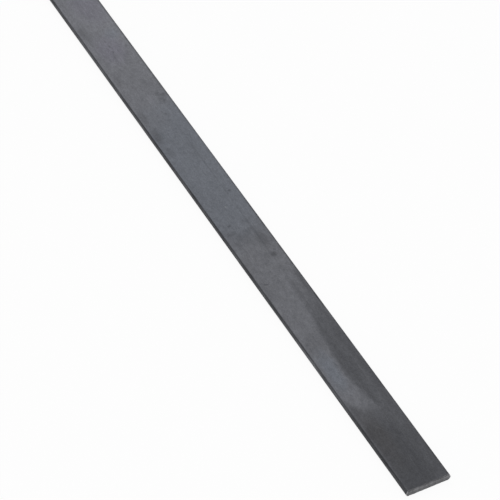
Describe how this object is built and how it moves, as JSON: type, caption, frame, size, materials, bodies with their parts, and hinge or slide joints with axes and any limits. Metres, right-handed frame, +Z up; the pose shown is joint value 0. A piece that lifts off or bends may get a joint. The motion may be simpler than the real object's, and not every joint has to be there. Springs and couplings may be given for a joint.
{
  "type": "metal flat bar",
  "caption": "Plain hot-rolled steel flat bar with rounded narrow edges and sheared ends, for brackets, frames and straps.",
  "frame": {"origin": "middle of the bar's length and width, on the broad face it rests on", "axes": "+X along the bar's length, +Y across its width, +Z up through its thickness"},
  "size_m": [1, 0.02, 0.003],
  "materials": {
    "mill_scale_steel": "hot-rolled mild steel under a thin satin blue-grey mill scale, bare where it was sheared"
  },
  "bodies": {
    "root": {"flat_bar": "mill_scale_steel"}
  },
  "joints": []
}
